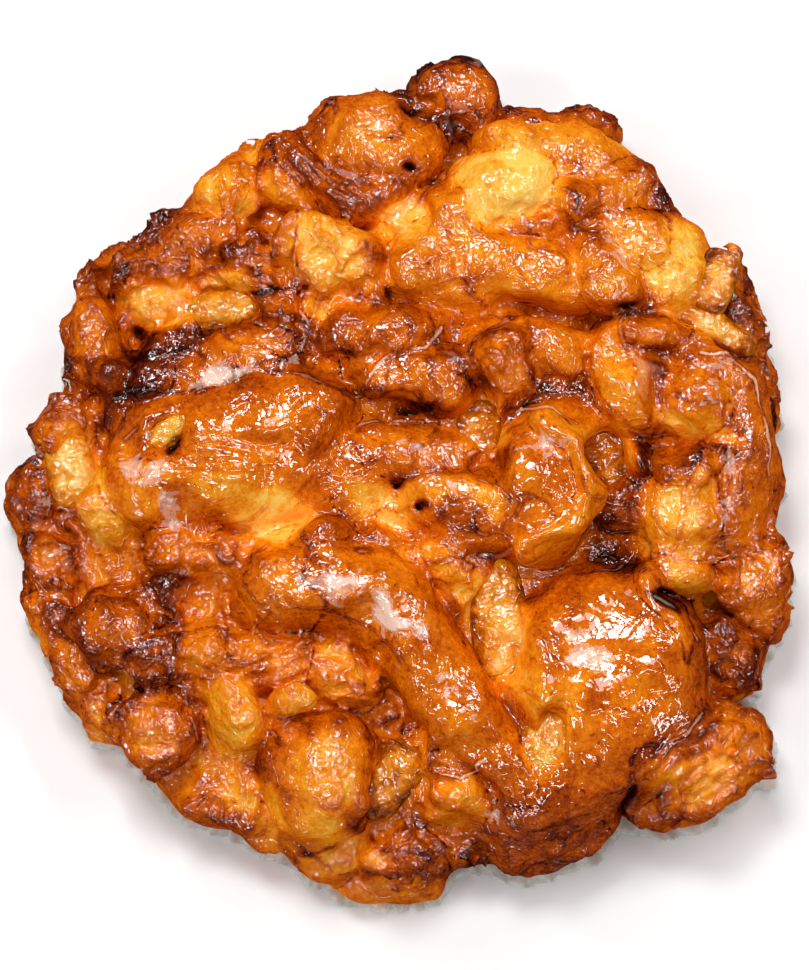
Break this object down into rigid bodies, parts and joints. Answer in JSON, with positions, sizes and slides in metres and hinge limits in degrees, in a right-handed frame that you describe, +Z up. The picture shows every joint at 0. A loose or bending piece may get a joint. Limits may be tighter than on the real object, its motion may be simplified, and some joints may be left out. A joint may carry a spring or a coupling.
{
  "type": "apricot fritter",
  "caption": "Flat round fritter of lumpy fried dough, glazed all over, with pieces of soft fruit seated in its top.",
  "frame": {"origin": "on the flat underside, at the middle of the outline seen from above", "axes": "+Z up out of the lumpy top, +Y along the longer side towards the small round knob, +X to the right of it"},
  "size_m": [0.1308, 0.1418, 0.0346],
  "materials": {
    "crust": "glazed, red-brown to golden fried crust",
    "fruit": "wet, translucent yellow fruit"
  },
  "bodies": {
    "root": {"dough": "crust", "apricot_upper_right": "fruit", "apricot_right_strip": "fruit", "apricot_left": "fruit", "apricot_left_pocket": "fruit", "apricot_upper_left": "fruit", "apricot_right_pocket": "fruit", "apricot_middle": "fruit", "apricot_long": "fruit", "apricot_lower_right": "fruit", "apricot_lower": "fruit"}
  },
  "joints": []
}
